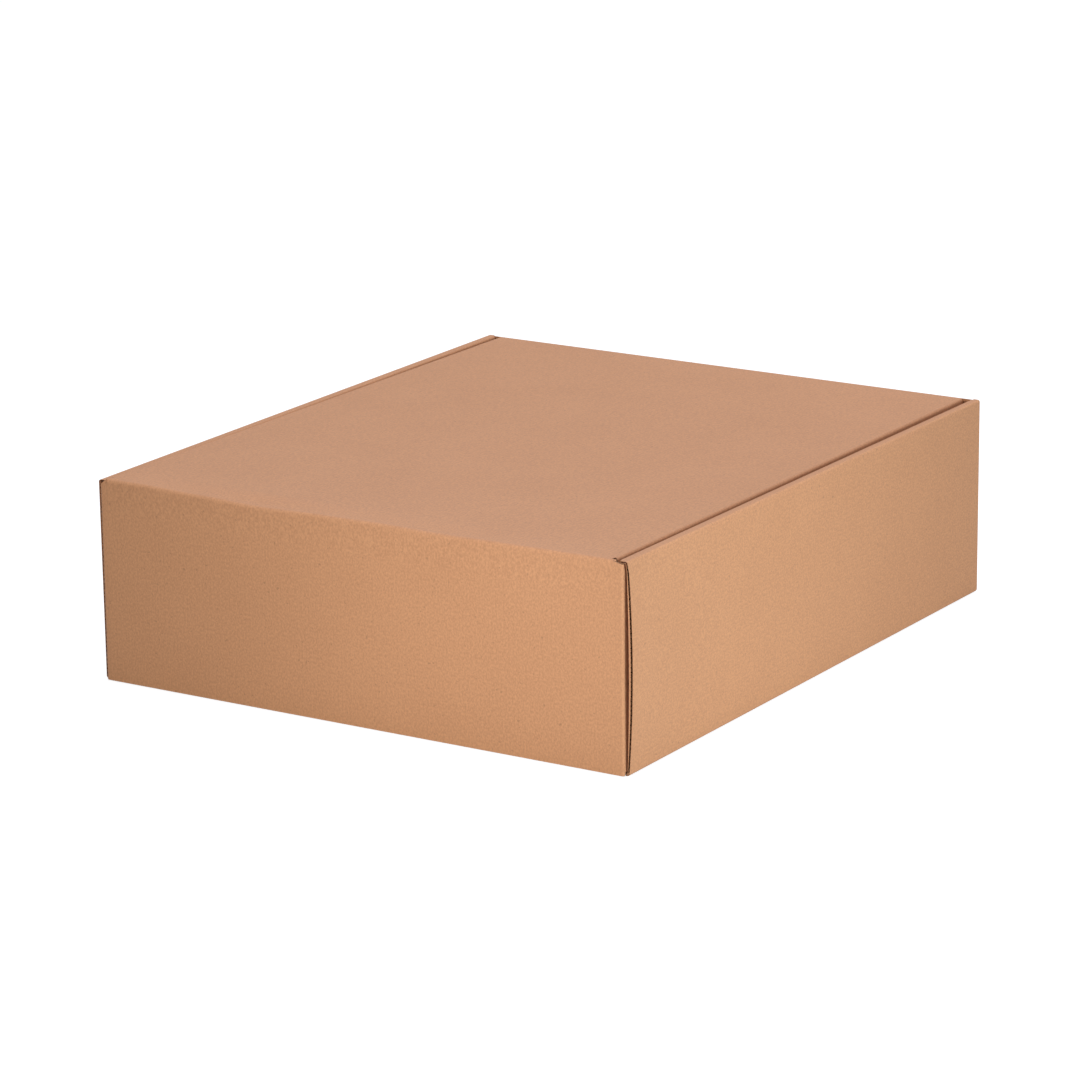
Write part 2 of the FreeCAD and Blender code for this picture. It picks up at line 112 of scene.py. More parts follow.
@dataclass(frozen=True)
class Blank:
    """Sizes of the folded blank that all of its panels share."""

    middle: float = -0.0015
    half_width: float = 0.210
    half_depth: float = 0.246
    top: float = 0.1435
    thick: float = 0.0016
    fold: float = 0.0022
    tight_fold: float = 0.00165
    layer: float = 0.0019
    setback: float = 0.003
    lid_half_front: float = 0.201
    lid_half_back: float = 0.19775
    lid_drift: float = -0.0012
    lid_fold: float = 0.002
    lid_tuck: float = 0.020
    crease_back: float = -0.222
    flap_seam: float = 0.120
    shoulder: float = 0.1414
    tab_place: float = 0.125
    tab_half: float = 0.030
    run_out: float = 0.001
    seam_lap: float = 0.0004
    flute: float = FLUTE_PITCH
    flute_air: float = 0.0001
    liner: float = 0.00019
    open_end: float = 0.006
    strip_end: float = 0.2442
    left_sink: float = 0.0015
    left_lean: float = 0.0004
    dips: Tuple[Tuple[float, float], ...] = (
        (-0.180, 0.0), (-0.125, 0.0012), (-0.076, 0.0025), (-0.027, 0.0013), (0.020, 0.0007),
        (0.067, 0.0013), (0.114, 0.0006), (0.159, 0.0002), (0.190, 0.0))

    @property
    def ear_face(self) -> float:
        """Outer face of an ear, from the middle."""
        return self.half_width - self.layer

    @property
    def corner_face(self) -> float:
        """Outer face of a corner flap, from the middle."""
        return self.ear_face - self.layer

    @property
    def lining_face(self) -> float:
        """Face of a side lining inside the box, from the middle."""
        return self.corner_face - self.layer - self.thick

    @property
    def roll_seam(self) -> float:
        """Place where the strip over a side wall meets the lining's fold."""
        return self.lining_face + self.tight_fold

    @property
    def wall_half(self) -> float:
        """Half width of the front and back walls between their corner folds."""
        return self.corner_face - self.fold

    @property
    def wall_front(self) -> float:
        """Outer face of the front wall, behind the flap."""
        return self.half_depth - self.layer

    @property
    def wall_top(self) -> float:
        """Height at which the upright panels turn over."""
        return self.top - self.fold

    @property
    def flute_gap(self) -> float:
        """Room for the waved paper between the liners."""
        return self.thick - 2 * self.liner - 2 * self.flute_air

    def tab_edges(self, half: float) -> List[float]:
        """Places along Y of the ends of both locking tabs, or of their slots."""
        return [way * self.tab_place + end * half for way in (-1, 1) for end in (-1, 1)]

    def dip(self, x: float) -> float:
        """Depth by which the front crease is pressed down at a place along X.

        Args:
            x: place along X.

        Returns:
            The depth, smooth between the listed places.
        """
        for (x0, d0), (x1, d1) in zip(self.dips, self.dips[1:]):
            if x <= x1:
                return d0 + (d1 - d0) * smooth(clamp((x - x0) / (x1 - x0)))
        return self.dips[-1][1]

    def settled(self, point: Vector) -> Vector:
        """Place of a point of the left side, which has sunk and leant in towards the front.

        Args:
            point: its place on the upright side.

        Returns:
            Its place on the settled side.
        """
        share = (self.half_depth - point.y) / (2 * self.half_depth)
        share *= max(0.0, point.z - self.fold) / (self.top - self.fold)
        return point + Vector((self.left_lean * share, 0, -self.left_sink * share))

    def lid_half(self, y: float) -> float:
        """Half width of the lid at a place along Y."""
        share = clamp((y + self.wall_front) / (self.half_depth + self.wall_front))
        return self.lid_half_front + share * (self.lid_half_back - self.lid_half_front)


class Desk:
    """Lays out and joins the shader nodes of one material or of the surroundings."""

    def __init__(self, owner: Union[bpy.types.Material, bpy.types.World]) -> None:
        """Clear the nodes of a new material or of new surroundings.

        Args:
            owner: what the nodes belong to.
        """
        self.owner = owner
        owner.use_nodes = True
        self.tree = owner.node_tree
        self.tree.nodes.clear()

    def node(self, kind: str, inputs: Optional[Dict] = None, **settings: Any) -> bpy.types.Node:
        """Add a node.

        Args:
            kind: the node's type name without its ShaderNode prefix.
            inputs: values or output sockets for its inputs, by name or number.
            settings: values of the node's own settings.

        Returns:
            The new node.
        """
        made = self.tree.nodes.new(f"ShaderNode{kind}")
        for name, value in settings.items():
            setattr(made, name, value)
        for name, value in (inputs or {}).items():
            if isinstance(value, Socket):
                self.tree.links.new(value, made.inputs[name])
            else:
                made.inputs[name].default_value = value
        return made

    def math(self, operation: str, *values: Union[float, Socket]) -> Socket:
        """Work out a number from numbers or sockets, given in order."""
        return self.node("Math", dict(enumerate(values)), operation=operation).outputs[0]

    def seen(self) -> Socket:
        """Tell the rays that show something to the camera from those that only light it.

        Returns:
            Socket that is 1 for what the camera sees, straight or by gloss or glass.
        """
        path = self.node("LightPath").outputs
        straight = self.math("MAXIMUM", path["Is Camera Ray"], path["Is Glossy Ray"])
        return self.math("MAXIMUM", straight, path["Is Transmission Ray"])

    def noise(self, place: Socket, scale: float, detail: float,
              stretch: Point = (1.0, 1.0, 1.0)) -> Socket:
        """Noise from 0 to 1, in waves per metre, whose stretch is below 1 along the grain."""
        moved = self.node("Mapping", {"Vector": place, "Scale": stretch}).outputs[0]
        return self.node("TexNoise", {"Vector": moved, "Scale": scale, "Detail": detail}).outputs[0]

    def spread(self, value: Socket, low: float, high: float,
               to_low: float = 0.0, to_high: float = 1.0) -> Socket:
        """Map a range of values smoothly onto another.

        Args:
            value: the socket to read.
            low: value that becomes to_low.
            high: value that becomes to_high.
            to_low: lowest result.
            to_high: highest result.

        Returns:
            Socket with the mapped value.
        """
        inputs = {"Value": value, "From Min": low, "From Max": high,
                  "To Min": to_low, "To Max": to_high}
        return self.node("MapRange", inputs, interpolation_type="SMOOTHSTEP").outputs[0]

    def tint(self, share: Socket, first: Union[Colour, Socket], second: Colour) -> Socket:
        """Mix two colours.

        Args:
            share: how much of the second shows, from 0 to 1.
            first: colour or socket.
            second: colour.

        Returns:
            Socket with the mixed colour.
        """
        base = first if isinstance(first, Socket) else (*first, 1.0)
        return self.node("Mix", {0: share, 6: base, 7: (*second, 1.0)}, data_type="RGBA").outputs[2]


@dataclass(frozen=True)
class KraftLiner:
    """Plain kraft liner: brown paper with fibres, cloudiness and faint flute ribs."""

    across: FlutesAcross
    pale: Colour = (0.672, 0.326, 0.152)
    deep: Colour = (0.528, 0.243, 0.107)
    speck: Colour = (0.300, 0.140, 0.066)
    along_grain: float = 0.7
    cloud_scale: float = 14.0
    fibre_scale: float = 850.0
    fine_scale: float = 1900.0
    speck_scale: float = 420.0
    cloud_share: float = 0.13
    rib_tone: float = 0.012
    tone_range: Tuple[float, float] = (0.28, 0.72)
    speck_range: Tuple[float, float] = (0.70, 0.80)
    speck_depth: float = 0.45
    rib_height: float = 0.5
    fine_height: float = 0.6
    bump: float = 0.6
    relief: float = 0.00003
    roughness: Tuple[float, float] = (0.66, 0.80)
    sheen: float = 0.10

    @lru_cache(maxsize=None)
    def material(self) -> bpy.types.Material:
        """Build the liner's material.

        Returns:
            The material, one for each direction of the flutes.
        """
        desk = Desk(bpy.data.materials.new(f"kraft_liner_{self.across.name.lower()}"))
        place = desk.node("TexCoord").outputs["Object"]
        phase = desk.node("VectorMath", {0: place, 1: self.across.value},
                          operation="DOT_PRODUCT").outputs["Value"]
        ribs = desk.math("SINE", desk.math("MULTIPLY", phase, math.tau / FLUTE_PITCH))
        grain = tuple(1.0 if part else self.along_grain for part in self.across.value)
        clouds = desk.noise(place, self.cloud_scale, 3.0)
        fibres = desk.noise(place, self.fibre_scale, 4.0, grain)
        fine = desk.noise(place, self.fine_scale, 2.0, grain)
        specks = desk.noise(place, self.speck_scale, 1.0)
        tone = desk.math("ADD", desk.math("MULTIPLY", clouds, self.cloud_share),
                         desk.math("MULTIPLY", fibres, 1 - self.cloud_share))
        tone = desk.math("ADD", tone, desk.math("MULTIPLY", ribs, self.rib_tone))
        paper = desk.tint(desk.spread(tone, *self.tone_range), self.deep, self.pale)
        flecks = desk.spread(specks, *self.speck_range, 0.0, self.speck_depth)
        flecked = desk.tint(flecks, paper, self.speck)
        height = desk.math("ADD", desk.math("MULTIPLY", ribs, self.rib_height), fibres)
        height = desk.math("ADD", height, desk.math("MULTIPLY", fine, self.fine_height))
        bump = desk.node("Bump", {"Strength": self.bump, "Distance": self.relief, "Height": height})
        rough = desk.spread(fibres, 0.3, 0.7, *self.roughness)
        shader = desk.node("BsdfPrincipled", {
            "Base Color": flecked, "Roughness": rough, "Normal": bump.outputs[0],
            "IOR": 1.45, "Sheen Weight": self.sheen, "Sheen Roughness": 0.5})
        desk.node("OutputMaterial", {"Surface": shader.outputs[0]})
        return desk.owner


@dataclass(frozen=True)
class RawPaper:
    """Bare board without a liner's smooth face, in one tone that its fibres break up."""

    name: str
    pale: Colour
    deep: Colour
    roughness: float
    fibre_scale: float
    layers: float
    bump: float
    relief: float

    @lru_cache(maxsize=None)
    def material(self) -> bpy.types.Material:
        """Build the material, once.

        Returns:
            The material.
        """
        desk = Desk(bpy.data.materials.new(self.name))
        fibres = desk.noise(desk.node("TexCoord").outputs["Object"], self.fibre_scale, self.layers)
        paper = desk.tint(desk.spread(fibres, 0.3, 0.7), self.deep, self.pale)
        bump = desk.node("Bump", {"Strength": self.bump, "Distance": self.relief, "Height": fibres})
        shader = desk.node("BsdfPrincipled", {"Base Color": paper, "Roughness": self.roughness,
                                              "Normal": bump.outputs[0], "IOR": 1.4})
        desk.node("OutputMaterial", {"Surface": shader.outputs[0]})
        return desk.owner


class Raw(Enum):
    """Bare papers of the board: its torn, die-cut edge and the browner waved paper inside, both
    darkened past their own tone with painted shade of the hollow flutes.
    """

    # Cut edge: the bare fibre's own tone, darkened further with painted shade of its open flute
    # hollows.
    CUT_EDGE_AND_SHADE = RawPaper("board_cut_edge_and_shade", pale=(0.420, 0.215, 0.110), deep=(0.260, 0.125, 0.060),
                        roughness=0.95, fibre_scale=1400.0, layers=3.0, bump=0.7, relief=0.00012)
    # Waved paper: its own browner tone, darkened to near black-brown with painted shade of the deep
    # flutes.
    FLUTING_AND_SHADE = RawPaper("fluting_paper_and_shade", pale=(0.150, 0.062, 0.022), deep=(0.090, 0.036, 0.012),
                       roughness=0.9, fibre_scale=1100.0, layers=2.0, bump=0.5, relief=0.00003)


class Finish(Enum):
    """Finishes of a piece of board, by their number on it."""

    LINER = 0
    CUT_EDGE_AND_SHADE = 1
    FLUTING_AND_SHADE = 2


def board_finishes(across: FlutesAcross, pockets: bool = False) -> List[bpy.types.Material]:
    """Finishes of a piece of board, in the order of their numbers.

    Args:
        across: direction across its flutes.
        pockets: whether its flutes are open at a cut edge.

    Returns:
        The liner, the cut edge darkened with painted shade and, behind pockets, the fluting
        darkened with painted shade.
    """
    raw = [Raw.CUT_EDGE_AND_SHADE, Raw.FLUTING_AND_SHADE] if pockets else [Raw.CUT_EDGE_AND_SHADE]
    return [KraftLiner(across).material(), *(paper.value.material() for paper in raw)]


class Workpiece:
    """One piece of board on the bench, shaped by one operator after another."""

    def __init__(self, name: str, low: Point, high: Point, facing: Facing,
                 finishes: Sequence[bpy.types.Material]) -> None:
        """Cut a rectangular panel at its size and place.

        Args:
            name: the piece's name.
            low: its lowest corner.
            high: its highest corner, level with the lowest in the way it faces.
            facing: the way its outer face looks.
            finishes: its materials, in the order of their numbers.
        """
        bpy.ops.object.select_all(action="DESELECT")
        centre = (Vector(low) + Vector(high)) / 2
        turns = [math.radians(turn) for turn in facing.value]
        bpy.ops.mesh.primitive_plane_add(size=1, location=centre, rotation=turns)
        self.obj = bpy.context.object
        self.obj.name = self.obj.data.name = name
        bpy.ops.object.transform_apply(location=True, rotation=True, scale=True)
        for finish in finishes:
            self.obj.data.materials.append(finish)
        size = [(h - l) or 1.0 for l, h in zip(low, high)]
        bpy.ops.object.mode_set(mode="EDIT")
        bpy.ops.mesh.select_all(action="SELECT")
        bpy.ops.transform.resize(value=size, orient_type="GLOBAL", center_override=centre)
        bpy.ops.object.mode_set(mode="OBJECT")

    def work(self, operator: Callable, **settings: Any) -> "Workpiece":
        """Run one edit-mode operator on what is picked.

        Args:
            operator: the operator.
            settings: its settings.

        Returns:
            This piece.
        """
        bpy.ops.object.mode_set(mode="EDIT")
        operator(**settings)
        bpy.ops.object.mode_set(mode="OBJECT")
        return self

    def pick(self, test: Callable[[Vector], bool]) -> "Workpiece":
        """Pick the points that pass a test, and the edges and faces between them.

        Args:
            test: function of a point's place.

        Returns:
            This piece.
        """
        mesh = self.obj.data
        bpy.context.tool_settings.mesh_select_mode = (True, False, False)
        for point in mesh.vertices:
            point.select = test(point.co)
        for item in (*mesh.edges, *mesh.polygons):
            item.select = all(mesh.vertices[number].select for number in item.vertices)
        return self

    def pick_edges(self, test: Callable[[Vector, Vector], bool]) -> "Workpiece":
        """Pick the edges whose two ends pass a test."""
        points = self.obj.data.vertices
        return self.pick_alone(1, lambda edge: test(*(points[end].co for end in edge.vertices)))

    def pick_faces(self, test: Callable[[Vector, Vector], bool]) -> "Workpiece":
        """Pick the faces whose centre and normal pass a test."""
        return self.pick_alone(2, lambda face: test(face.center, face.normal))

    def pick_alone(self, kind: int, test: Callable) -> "Workpiece":
        """Pick edges or faces by themselves, whatever their points are part of.

        Args:
            kind: 1 for edges, 2 for faces.
            test: function of one of them.

        Returns:
            This piece.
        """
        mesh = self.obj.data
        bpy.context.tool_settings.mesh_select_mode = [kind == number for number in range(3)]
        for number, items in enumerate((mesh.vertices, mesh.edges, mesh.polygons)):
            for item in items:
                item.select = number == kind and test(item)
        return self

    def finish(self, finish: Finish) -> "Workpiece":
        """Give the picked faces another of the piece's finishes.

        Args:
            finish: the finish that they get.

        Returns:
            This piece.
        """
        for face in self.obj.data.polygons:
            if face.select:
                face.material_index = finish.value
        return self

    def open_pocket(self, liner: float, *depth: float) -> "Workpiece":
        """Sink the picked cut edge between its two liners, by a way along X, Y and Z. The pocket's
        floor and walls take the dark fluting finish, painted shade of its depth.
        """
        self.finish(Finish.LINER).work(bpy.ops.mesh.inset, thickness=liner, use_boundary=True,
                                       use_even_offset=True)
        return self.finish(Finish.FLUTING_AND_SHADE).run(*depth)

    def run(self, *move: float) -> "Workpiece":
        """Draw the picked edges or faces out by a straight way along X, Y and Z."""
        return self.work(bpy.ops.mesh.extrude_region_move, TRANSFORM_OT_translate={"value": move})

    def fold(self, centre: Point, axis: Point) -> "Workpiece":
        """Draw the picked edge out round a square fold, right-handed about its axis."""
        return self.work(bpy.ops.mesh.spin, steps=FOLD_STEPS, angle=-math.pi / 2, center=centre,
                         axis=axis)

    def cut(self, places: Sequence[float], axis: int) -> "Workpiece":
        """Score the whole piece across an axis, which adds edges there.

        Args:
            places: where to score it.
            axis: 0, 1 or 2 for X, Y or Z.

        Returns:
            This piece.
        """
        normal = [0.0, 0.0, 0.0]
        normal[axis] = 1.0
        for place in places:
            self.pick(lambda point: True)
            self.work(bpy.ops.mesh.bisect, plane_co=[place * part for part in normal],
                      plane_no=normal)
        return self

    def press(self, shape: Callable[[Vector], Vector]) -> "Workpiece":
        """Press every point of the board into its shape, by hand.

        Args:
            shape: function from a point's place to its new place.

        Returns:
            This piece.
        """
        for point in self.obj.data.vertices:
            point.co = shape(point.co.copy())
        self.obj.data.update()
        return self

    def use(self, kind: str, **settings: Any) -> "Workpiece":
        """Add a modifier and apply it.

        Args:
            kind: the modifier's type.
            settings: its settings.

        Returns:
            This piece.
        """
        modifier = self.obj.modifiers.new(kind.lower(), kind)
        for name, value in settings.items():
            setattr(modifier, name, value)
        bpy.context.view_layer.objects.active = self.obj
        bpy.ops.object.modifier_apply(modifier=modifier.name)
        return self

    def thicken(self, depth: float) -> "Workpiece":
        """Give the sheet its thickness, inwards from its outer face.

        Args:
            depth: thickness of the board.

        Returns:
            This piece.
        """
        self.pick(lambda point: True)
        self.work(bpy.ops.mesh.remove_doubles, threshold=MERGE)
        return self.use("SOLIDIFY", thickness=depth, offset=-1.0, use_even_offset=True,
                        material_offset_rim=Finish.CUT_EDGE_AND_SHADE.value)

    def done(self, body: str) -> bpy.types.Object:
        """Smooth the folds, mount the piece on its body and report it.

        Args:
            body: name of the CAD body that it moves with, or nothing to leave it unmounted.

        Returns:
            The finished object.
        """
        bpy.ops.object.select_all(action="DESELECT")
        self.obj.select_set(True)
        bpy.context.view_layer.objects.active = self.obj
        bpy.ops.object.shade_smooth_by_angle(angle=math.radians(SMOOTH_UNDER))
        self.obj.select_set(False)
        if body:
            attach(self.obj, body)
        LOG.info("%s: %d faces, on %s", self.obj.name, len(self.obj.data.polygons), body or "both")
        return self.obj


@dataclass(frozen=True)
class BasePanel:
    """Flat base with the four slots that hold the locking tabs."""

    blank: Blank
    slot_air: float = 0.0003

    def build(self) -> List[bpy.types.Object]:
        """Cut the base, with its slots, and thicken it upwards.

        Returns:
            The base.
        """
        b = self.blank
        rim = b.fold + b.run_out
        half = b.half_width - rim
        front, back = -b.wall_front + rim, b.half_depth - rim
        base = Workpiece("base_panel", (b.middle - half, front, 0), (b.middle + half, back, 0),
                         Facing.DOWN, board_finishes(FlutesAcross.LID))
        near, far = b.lining_face - self.slot_air, b.lining_face + b.thick + self.slot_air
        slot_half = b.tab_half + self.slot_air
        base.cut([b.middle + side * edge for side in (-1, 1) for edge in (near, far)], 0)
        base.cut(b.tab_edges(slot_half), 1)

        def in_slot(centre: Vector, normal: Vector) -> bool:
            """Whether a face is the waste of a slot."""
            across = abs(centre.x - b.middle)
            return near < across < far and abs(abs(centre.y) - b.tab_place) < slot_half

        base.pick_faces(in_slot).work(bpy.ops.mesh.delete, type="FACE")
        base.thicken(b.thick)
        return [base.done("box")]


@dataclass(frozen=True)
class EndWall:
    """Front or back wall with its base fold and the two corner flaps folded from its ends."""

    blank: Blank
    end: End
    flap_length: float = 0.120
    flap_taper: float = 0.008
    head_play: float = 0.0005

    def build(self) -> List[bpy.types.Object]:
        """Fold the wall's ends and foot, and taper its corner flaps.

        Returns:
            The wall.
        """
        b = self.blank
        way = self.end.value
        face = way * (b.half_depth if self.end is End.BACK else b.wall_front)
        left, right = b.middle - b.wall_half, b.middle + b.wall_half
        wall = Workpiece(f"{self.end.name.lower()}_wall", (left, face, b.fold),
                         (right, face, b.wall_top), Facing[self.end.name],
                         board_finishes(FlutesAcross.ENDS))
        inner = face - way * b.fold
        for side, edge in ((-1, left), (1, right)):
            wall.pick(lambda point: abs(point.x - edge) < HAIR)
            wall.fold((edge, inner, 0), (0, 0, -side * way))
            wall.run(0, -way * b.run_out, 0)
            wall.run(0, -way * (self.flap_length - b.run_out), 0)
        wall.pick(lambda point: abs(point.z - b.fold) < HAIR and abs(point.y - face) < HAIR)
        wall.fold((0, inner, b.fold), (-way, 0, 0)).run(0, -way * b.run_out, 0)
        if self.end is End.FRONT:
            places = [x for x, _ in b.dips]
            middles = [(x0 + x1) / 2 for x0, x1 in zip(places, places[1:])]
            wall.cut(sorted(places + middles), 0)

        def trimmed(point: Vector) -> Vector:
            """Place of a point once the corner flaps are narrowed and the head clears the lid.

            Args:
                point: its place on the wall as folded.

            Returns:
                Its place on the trimmed wall.
            """
            if self.end is End.FRONT:
                clear = b.top - b.thick - self.head_play - b.dip(point.x)
                point.z = min(point.z, clear)
            if abs(abs(point.y - inner) - self.flap_length) < HAIR:
                point.z += self.flap_taper if point.z < b.top / 2 else -self.flap_taper
            return b.settled(point) if point.x < left - HAIR else point

        wall.press(trimmed).thicken(b.thick)
        return [wall.done("box")]


@dataclass(frozen=True)
class WavedPaper:
    """Row of open flutes in a cut edge, between the two liners."""

    blank: Blank
    name: str
    first: float
    last: float
    to_place: Callable[[float, float, float], Vector]
    paper: float = 0.0002
    facets: int = 8

    def build(self, body: str) -> bpy.types.Object:
        """Shape one wave, repeat it and lay the row into the cut edge.

        The row is made along X with its depth along Y, and its height along Z
        runs from 0 at the inner liner to 1 at the outer one.

        Args:
            body: name of the CAD body that the row moves with.

        Returns:
            The finished row.
        """
        b = self.blank
        count = int((self.last - self.first) / b.flute)
        length = (self.last - self.first) / count
        step = length / self.facets
        # The rows take the darkened fluting paper, painted shade of the deep flutes.
        wave = Workpiece(self.name, (0, 0, 0), (step, b.open_end, 0), Facing.UP,
                         [Raw.FLUTING_AND_SHADE.value.material()])
        heights = [(1 - math.cos(math.tau * number / self.facets)) / 2
                   for number in range(self.facets + 1)]
        wave.press(lambda point: Vector((point.x, point.y, heights[1] if point.x > HAIR else 0)))
        for number in range(1, self.facets):
            wave.pick(lambda point: abs(point.x - step * number) < HAIR)
            wave.run(step, 0, heights[number + 1] - heights[number])
        wave.use("ARRAY", count=count, use_relative_offset=False, use_constant_offset=True,
                 constant_offset_displace=(length, 0, 0), use_merge_vertices=True,
                 merge_threshold=MERGE)
        wave.press(lambda point: self.to_place(self.first + point.x, point.y, point.z))
        wave.use("SOLIDIFY", thickness=self.paper, offset=0.0)
        return wave.done(body)


@dataclass(frozen=True)
class SideWall:
    """Rolled double side wall: outer panel, strip over the top and lining with its tabs."""

    blank: Blank
    side: Side
    swell: float = 0.0029
    flare: float = 0.0016
    lip: float = 0.0010
    seam_drift: float = 0.0010
    swell_reach: float = 0.120
    swell_fall: float = 1.5
    lip_band: Tuple[float, float] = (0.8, 0.9)
    swell_columns: int = 8
    swell_rows: int = 26
    tab_chamfer: float = 0.0012

    @property
    def front(self) -> float:
        """Front end of the outer panel."""
        return -self.blank.half_depth + self.blank.setback

    def arch(self, rise: float, z: float) -> float:
        """Bow of the panel's front edge at a height.

        Args:
            rise: bow at mid-height.
            z: height.

        Returns:
            How far the edge stands out there.
        """
        b = self.blank
        half = (b.wall_top - b.fold) / 2
        level = clamp(abs(z - b.fold - half) / half) * half
        radius = (half ** 2 + rise ** 2) / (2 * rise)
        return math.sqrt(radius ** 2 - level ** 2) - radius + rise

    def swollen(self, point: Vector) -> Vector:
        """Place of a point of the outer panel once its front edge is held open.

        Args:
            point: its place on the flat panel.

        Returns:
            Its place on the swollen panel.
        """
        b = self.blank
        if point.z > b.wall_top and point.y < self.front + TRACE:
            point.y = -b.strip_end
        if self.side is Side.LEFT:
            return b.settled(point)
        seam = b.middle + b.roll_seam + b.seam_lap
        if point.z > b.wall_top and abs(point.x - seam) < TRACE:
            point.x += self.seam_drift * (b.half_depth + point.y) / (2 * b.half_depth)
        depth = (b.middle + b.half_width - point.x) / b.thick
        share = min(1.0, (self.swell_reach + self.front - point.y) / self.swell_reach)
        in_panel = b.fold < point.z < b.wall_top and abs(depth - 0.5) < 0.6
        if share <= 0 or not in_panel:
            return point
        rise = self.swell - self.flare * clamp(depth)
        if self.lip_band[0] < depth < self.lip_band[1]:
            rise += self.lip
        point.x += share ** self.swell_fall * self.arch(rise, point.z)
        return point

    def eased(self, point: Vector) -> Vector:
        """Place of a point of the right lining, whose fold grows rounder towards the back.

        Args:
            point: its place on the evenly folded lining.

        Returns:
            Its place on the eased fold.
        """
        b = self.blank
        if point.z < b.top - b.tight_fold - HAIR:
            return point
        share = (b.half_depth + point.y) / (2 * b.half_depth)
        scale = 1 + share * self.seam_drift / b.tight_fold
        face = b.middle + b.lining_face
        across = min(point.x - face, b.tight_fold)
        point.x += across * (scale - 1)
        point.z = b.top - (b.top - point.z) * scale
        return point

    def build_roll(self) -> Workpiece:
        """Fold the outer panel in at its foot and over at its top.

        Returns:
            The roll, thickened, with pockets between the liners at its upright cut edges.
        """
        b = self.blank
        sign = self.side.value
        face = b.middle + sign * b.half_width
        head = b.top - b.tight_fold
        roll = Workpiece(f"side_roll_{self.side.name.lower()}", (face, self.front, b.fold),
                         (face, b.half_depth, head), Facing[self.side.name],
                         board_finishes(FlutesAcross.SIDES, pockets=True))
        roll.pick(lambda point: abs(point.z - b.fold) < HAIR)
        roll.fold((face - sign * b.fold, 0, b.fold), (0, sign, 0)).run(-sign * b.run_out, 0, 0)
        roll.pick(lambda point: abs(point.z - head) < HAIR)
        roll.fold((face - sign * b.tight_fold, 0, head), (0, -sign, 0))
        roll.run(-sign * (b.half_width - b.tight_fold - b.roll_seam - b.seam_lap), 0, 0)
        if self.side is Side.RIGHT:
            columns, rows = self.swell_columns, self.swell_rows
            roll.cut([self.front + self.swell_reach * number / columns
                      for number in range(1, columns + 1)], 1)
            rise = b.wall_top - b.fold
            roll.cut([b.fold + rise * number / rows for number in range(1, rows)], 2)
        roll.thicken(b.thick)
        for way, end in ((-1, self.front), (1, b.half_depth)):
            def cut_end(centre: Vector, normal: Vector) -> bool:
                """Whether a face is in the cut edge of the roll at this end."""
                return centre.z > b.fold and abs(centre.y - end) < TRACE and normal.y * way > 0.9

            roll.pick_faces(cut_end).open_pocket(b.liner, 0, -way * b.open_end, 0)
            # Painted shade: on the left roll the whole cut end, liner rims too, takes the dark
            # fluting finish, standing in for the shade in its open end.
            if self.side is Side.LEFT:
                roll.pick_faces(cut_end).finish(Finish.FLUTING_AND_SHADE)
        return roll.press(self.swollen)

    def build_lining(self) -> Workpiece:
        """Cut the lining with its locking tabs and fold its head into the roll.

        Returns:
            The lining, thickened.
        """
        b = self.blank
        sign = self.side.value
        face = b.middle + sign * b.lining_face
        front, back = -b.wall_front + b.layer, b.half_depth - b.layer
        facing = Facing.LEFT if self.side is Side.RIGHT else Facing.RIGHT
        head = b.top - b.tight_fold
        lining = Workpiece(f"side_lining_{self.side.name.lower()}", (face, front, b.layer),
                           (face, back, head), facing, board_finishes(FlutesAcross.SIDES))
        lining.pick(lambda point: abs(point.z - head) < HAIR)
        lining.fold((face + sign * b.tight_fold, 0, head), (0, sign, 0))
        lining.run(sign * b.seam_lap, 0, 0).cut(b.tab_edges(b.tab_half), 1)
        for way in (-1, 1):
            middle = way * b.tab_place
            lining.pick(lambda point: abs(point.z - b.layer) < HAIR
                        and abs(point.y - middle) < b.tab_half + HAIR)
            lining.run(0, 0, b.thick - b.layer).run(0, 0, -self.tab_chamfer)
            narrowed = 1 - self.tab_chamfer / b.tab_half
            lining.work(bpy.ops.transform.resize, value=(1, narrowed, 1),
                        orient_type="GLOBAL", center_override=(face, middle, 0))
        lining.press(b.settled if self.side is Side.LEFT else self.eased)
        return lining.thicken(b.thick)

    def build_flutes(self) -> List[bpy.types.Object]:
        """Lay the waved paper into the upright cut edges.

        Returns:
            A row for the front edge and a row for the back edge.
        """
        b = self.blank
        sign = self.side.value
        rows = []
        for end in End:
            place = self.front if end is End.FRONT else b.half_depth

            def laid(along: float, depth: float, height: float) -> Vector:
                """Place in the cut edge of a point of the flat row.

                Args:
                    along: its place along the row, which is its height on the wall.
                    depth: its depth in the cut edge.
                    height: its share of the way from the inner liner to the outer.

                Returns:
                    Its place in the wall.
                """
                across = b.half_width - b.thick + b.liner + b.flute_air + height * b.flute_gap
                if self.side is Side.RIGHT and end is End.FRONT:
                    inner = self.arch(self.swell - self.flare + self.lip, along)
                    outer = self.arch(self.swell, along)
                    across += inner + height * (outer - inner)
                spot = Vector((b.middle + sign * across, place - end.value * depth, along))
                return b.settled(spot) if self.side is Side.LEFT else spot

            name = f"edge_flutes_{self.side.name.lower()}_{end.name.lower()}"
            row = WavedPaper(b, name, b.fold + b.liner, b.wall_top - b.liner, laid)
            rows.append(row.build("box"))
        return rows

    def build(self) -> List[bpy.types.Object]:
        """Build the whole side wall.

        Returns:
            Roll, lining and the two rows of flutes.
        """
        return [self.build_roll().done("box"), self.build_lining().done("box"),
                *self.build_flutes()]


